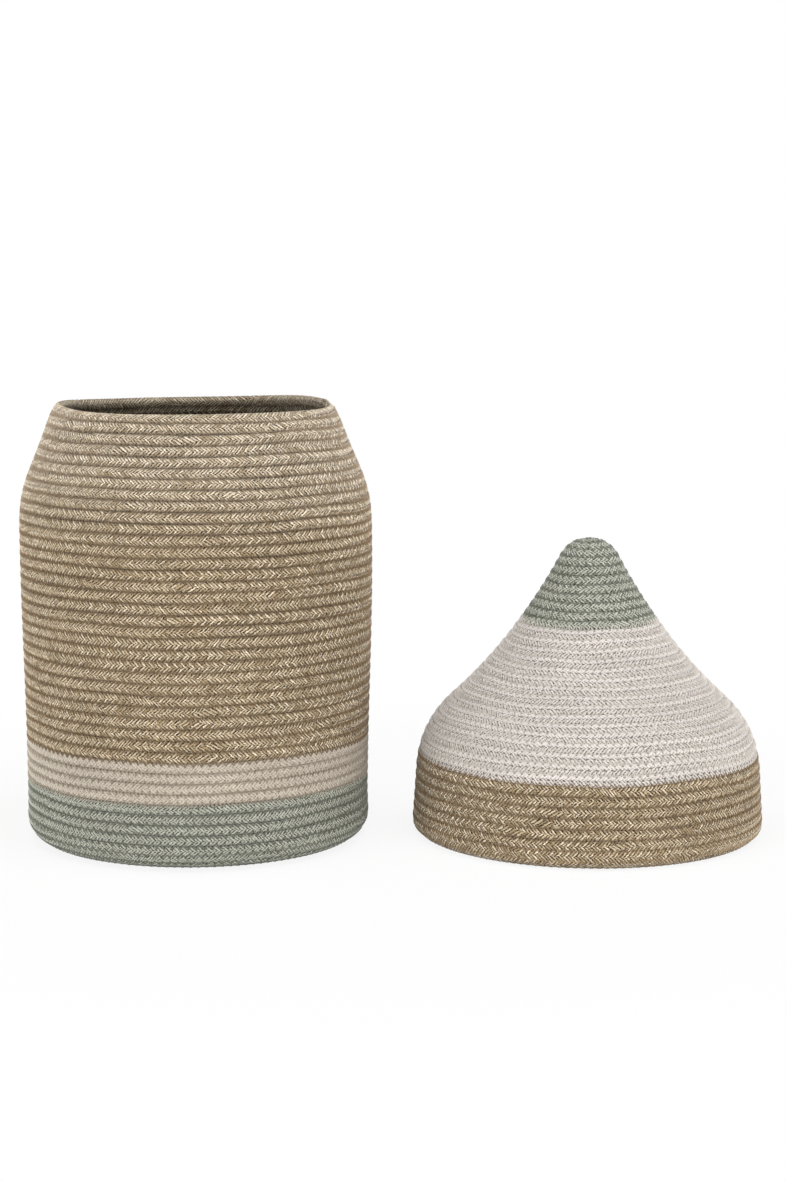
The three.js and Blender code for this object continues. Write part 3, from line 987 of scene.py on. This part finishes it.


# How each finish's cord looks, and its thread. Shadow is the colour of the painted shade in the lines between
# strands, the flecks, the grooves and the needle holes.
CORD_LOOKS = {
    "tan": {
        "Dark": linear(135, 114, 82), "Light": linear(204, 184, 149), "Bright": linear(244, 234, 215),
        "Shadow": linear(46, 34, 21), "Paleness": 0.62, "Bright Amount": 0.95,
        "Gap Shade": 1.0, "Eye Side Shade": 1.0, "Fleck Shade": 1.0, "Groove Shade": 0.45, "Hole Shade": 0.4,
    },
    "cream": {
        "Dark": linear(182, 173, 158), "Light": linear(203, 195, 182), "Bright": linear(226, 218, 206),
        "Shadow": linear(108, 92, 74), "Paleness": 0.0, "Bright Amount": 0.05,
        "Gap Shade": 0.3, "Eye Side Shade": 1.0, "Fleck Shade": 0.65, "Groove Shade": 0.75, "Hole Shade": 0.8,
    },
    "pale cream": {
        "Dark": linear(200, 194, 188), "Light": linear(212, 207, 202), "Bright": linear(230, 225, 219),
        "Shadow": linear(82, 70, 60), "Paleness": 0.0, "Bright Amount": 0.0,
        "Gap Shade": 0.62, "Eye Side Shade": 0.2, "Fleck Shade": 0.85, "Groove Shade": 0.1, "Hole Shade": 0.85,
    },
    "green": {
        "Dark": linear(156, 158, 144), "Light": linear(190, 192, 179), "Bright": linear(224, 226, 214),
        "Shadow": linear(44, 48, 40), "Paleness": 0.0, "Bright Amount": 0.1,
        "Gap Shade": 0.85, "Eye Side Shade": 0.8, "Fleck Shade": 1.0, "Groove Shade": 0.7, "Hole Shade": 0.9,
    },
}
THREAD_LOOKS = {
    "tan": {"Thread": linear(136, 114, 86), "Paleness": 0.18},
    "cream": {"Thread": linear(176, 164, 147), "Paleness": 0.0},
    "pale cream": {"Thread": linear(208, 201, 193), "Paleness": 0.0},
    "green": {"Thread": linear(122, 126, 113), "Paleness": 0.0},
}

# Bump: the cord's, as a share of how deep its strands lie apart, and the thread's
CORD_BUMP = 0.3
THREAD_BUMP = 0.08 * MM


def cord_finishes():
    """The four cords' materials."""
    group = braid_group()
    finishes = {}
    for name, look in CORD_LOOKS.items():
        pairing, depth, reach_back, reach_ahead = BRAIDS[name]
        braid = {"Pairing": pairing, "Reach Back": reach_back / MM, "Reach Ahead": reach_ahead / MM}
        finishes[name] = finished(f"{name} cord", group, look | braid, depth * CORD_BUMP)
    return finishes


def thread_finishes():
    """The sewing threads' materials, by the cord that each goes with."""
    group = thread_group()
    return {name: finished(f"{name} thread", group, look, THREAD_BUMP) for name, look in THREAD_LOOKS.items()}


def add_piece(name, mesh, material, body, node, slot):
    mesh.materials.append(material)
    piece = bpy.data.objects.new(name, mesh)
    bpy.context.scene.collection.objects.link(piece)
    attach(piece, body)
    if node:
        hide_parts(node)


# Floor. To the camera it's mostly white near the middle of the scene, so that some shadow shows, and all
# white past a distance.
FLOOR_REACH = 6
FLOOR_DROP = 0.2 * MM
FLOOR_SHADE = 0.85
SHADOW_REACH = (0.3, 0.7)
WHITE_SHARE = 0.88
SCENE_MIDDLE = (LID_AXIS[0] / 2, 0)


def add_floor():
    """A floor that runs to the horizon."""
    mesh = bpy.data.meshes.new("floor")
    corners = [(-1, -1), (1, -1), (1, 1), (-1, 1)]
    mesh.from_pydata([(FLOOR_REACH * x, FLOOR_REACH * y, 0) for x, y in corners], [], [(0, 1, 2, 3)])
    floor = bpy.data.objects.new("floor", mesh)
    floor.location.z = -FLOOR_DROP
    bpy.context.scene.collection.objects.link(floor)
    material = bpy.data.materials.new("white floor")
    material.use_nodes = True
    tree = material.node_tree
    shader = tree.nodes["Principled BSDF"]
    shader.inputs["Base Color"].default_value = (FLOOR_SHADE, FLOOR_SHADE, FLOOR_SHADE, 1)
    shader.inputs["Roughness"].default_value = 1
    shader.inputs["Specular IOR Level"].default_value = 0
    white = tree.nodes.new("ShaderNodeEmission")
    white.inputs["Color"].default_value = (1, 1, 1, 1)
    white.inputs["Strength"].default_value = 1
    distance = tree.nodes.new("ShaderNodeVectorMath")
    distance.operation = "DISTANCE"
    tree.links.new(tree.nodes.new("ShaderNodeNewGeometry").outputs["Position"], distance.inputs[0])
    distance.inputs[1].default_value = (*SCENE_MIDDLE, 0)
    share = Output(tree, distance.outputs["Value"]).eased(*SHADOW_REACH, WHITE_SHARE, 1.0)
    seen = Output(tree, tree.nodes.new("ShaderNodeLightPath").outputs["Is Camera Ray"])
    blend = tree.nodes.new("ShaderNodeMixShader")
    feed(seen * share, blend.inputs[0])
    tree.links.new(shader.outputs[0], blend.inputs[1])
    tree.links.new(white.outputs[0], blend.inputs[2])
    tree.links.new(blend.outputs[0], tree.nodes["Material Output"].inputs["Surface"])
    mesh.materials.append(material)


# Light from all round is strong near the horizon and weak above an edge. Each lamp has its place, its width
# and height, its power in watts and its colour, and is aimed at the middle of the scene at a height.
LOW_FILL = 1.08
HIGH_FILL = 0.05
FILL_EDGE = 0.13
AIM_HEIGHT = 0.2
SIDE_COLOUR = (1.0, 0.98, 0.95)
LAMPS = {
    "top softbox": ((0.17, -0.5, 2.3), (2.2, 1.3), 52, (0.97, 0.98, 1.0)),
    "left softbox": ((-2.35, -1.7, 0.26), (3.8, 0.5), 48, SIDE_COLOUR),
    "right softbox": ((2.4, -1.9, 0.26), (3.6, 0.5), 48, SIDE_COLOUR),
    "front strip": ((0.17, -2.9, 0.5), (1.8, 0.12), 19, (1.0, 0.98, 0.96)),
    "back left softbox": ((-2.2, 1.3, 0.3), (2.0, 0.5), 33, SIDE_COLOUR),
    "back right softbox": ((2.6, 1.3, 0.3), (2.0, 0.5), 33, SIDE_COLOUR),
}


def add_world():
    """White to the camera and in reflections. What it lights the object with is less."""
    world = bpy.data.worlds.new("studio")
    bpy.context.scene.world = world
    world.use_nodes = True
    tree = world.node_tree
    background = tree.nodes["Background"]
    background.inputs["Color"].default_value = (1, 1, 1, 1)
    rays = tree.nodes.new("ShaderNodeLightPath").outputs
    seen = Output(tree, rays["Is Camera Ray"])
    for ray in ("Is Glossy Ray", "Is Transmission Ray"):
        seen = seen.calc("MAXIMUM", Output(tree, rays[ray]))
    way_up = axes(tree, tree.nodes.new("ShaderNodeTexCoord").outputs["Generated"])[2]
    fill = way_up.eased(0.0, FILL_EDGE, LOW_FILL, HIGH_FILL)
    feed(seen * (1.0 - fill) + fill, background.inputs["Strength"])


def add_lamps():
    for name, (place, size, power, colour) in LAMPS.items():
        data = bpy.data.lights.new(name, "AREA")
        data.shape = "RECTANGLE"
        data.size, data.size_y = size
        data.energy = power
        data.color = colour
        lamp = bpy.data.objects.new(name, data)
        lamp.location = place
        aim = np.array([*SCENE_MIDDLE, AIM_HEIGHT]) - np.array(place)
        yaw = math.atan2(aim[1], aim[0])
        pitch = math.atan2(math.hypot(aim[0], aim[1]), -aim[2])
        lamp.rotation_euler = (pitch, 0, yaw - math.pi / 2)
        bpy.context.scene.collection.objects.link(lamp)


def basket_shell():
    outline = basket_outline()
    bands = [
        (GREEN_WIDTH, outline.length_at(GREEN_BAND_HEIGHT, True)),
        (CREAM_WIDTH, outline.length_at(CREAM_BAND_HEIGHT, True)),
        (TAN_WIDTH, outline.length),
    ]
    return Shell(outline, 1, (0, 0), "basket", bands, SEED, RIM_LEAN, RIM_RISES)


def lid_shell():
    outline, height = lid_outline()
    bands = [
        (GREEN_WIDTH, outline.length_at(height - TIP_BAND_DEPTH, False)),
        (LID_CREAM_WIDTH, outline.length_at(SKIRT_BAND_HEIGHT, False)),
        (TAN_WIDTH, outline.length),
    ]
    return Shell(outline, -1, LID_AXIS, "lid", bands, SEED + 1)


def cord_lengths(basket, lid):
    """Every length of cord: its name, shell, first and last turn, squeeze, finish, CAD node and material
    slot. The tan wall is three lengths, so that no mesh is too heavy."""
    green_end, cream_end, tan_end = basket.ends
    tip_end, cone_end, skirt_end = lid.ends
    base_end = math.floor((FOOT_RADIUS - CORNER_RADIUS) / basket.line(1.0))
    low_end = cream_end + (tan_end - cream_end) // 3
    middle_end = cream_end + 2 * (tan_end - cream_end) // 3
    return [
        ("base", basket, 0, base_end, 1.15, "green", "base_coil", "green_cord"),
        ("foot", basket, base_end, green_end, 1.15, "green", "foot_band", "green_cord"),
        ("cream", basket, green_end, cream_end, 1.26, "cream", "cream_band", "cream_cord"),
        ("lower_wall", basket, cream_end, low_end, 1.2, "tan", "tan_wall", "tan_cord"),
        ("middle_wall", basket, low_end, middle_end, 1.13, "tan", "tan_wall", "tan_cord"),
        ("neck", basket, middle_end, tan_end, 1.02, "tan", "tan_wall", "tan_cord"),
        ("lid_tip", lid, 0, tip_end, 1.32, "green", "lid_tip", "green_cord"),
        ("lid_cone", lid, tip_end, cone_end, 1.38, "pale cream", "lid_cone", "lid_cream_cord"),
        ("lid_skirt", lid, cone_end, skirt_end, 1.31, "tan", "lid_skirt", "tan_cord"),
    ]


def build():
    add_camera()
    basket = basket_shell()
    lid = lid_shell()
    cord_materials = cord_finishes()
    thread_materials = thread_finishes()
    for seed, length in enumerate(cord_lengths(basket, lid), FIRST_CORD_SEED):
        name, shell, start, end, squeeze, finish, node, slot = length
        cord = Cord(shell, start, end, squeeze, finish, seed, rim=end == shell.ends[-1])
        braid = cord_mesh(f"{name}_cord", cord)
        add_piece(f"{name}_cord", braid, cord_materials[finish], shell.body, node, slot)
        sewing = thread_mesh(f"{name}_thread", cord)
        add_piece(f"{name}_thread", sewing, thread_materials[finish], shell.body, None, slot)
    add_floor()
    add_world()
    add_lamps()
    bpy.context.scene.view_settings.view_transform = "Standard"


build()
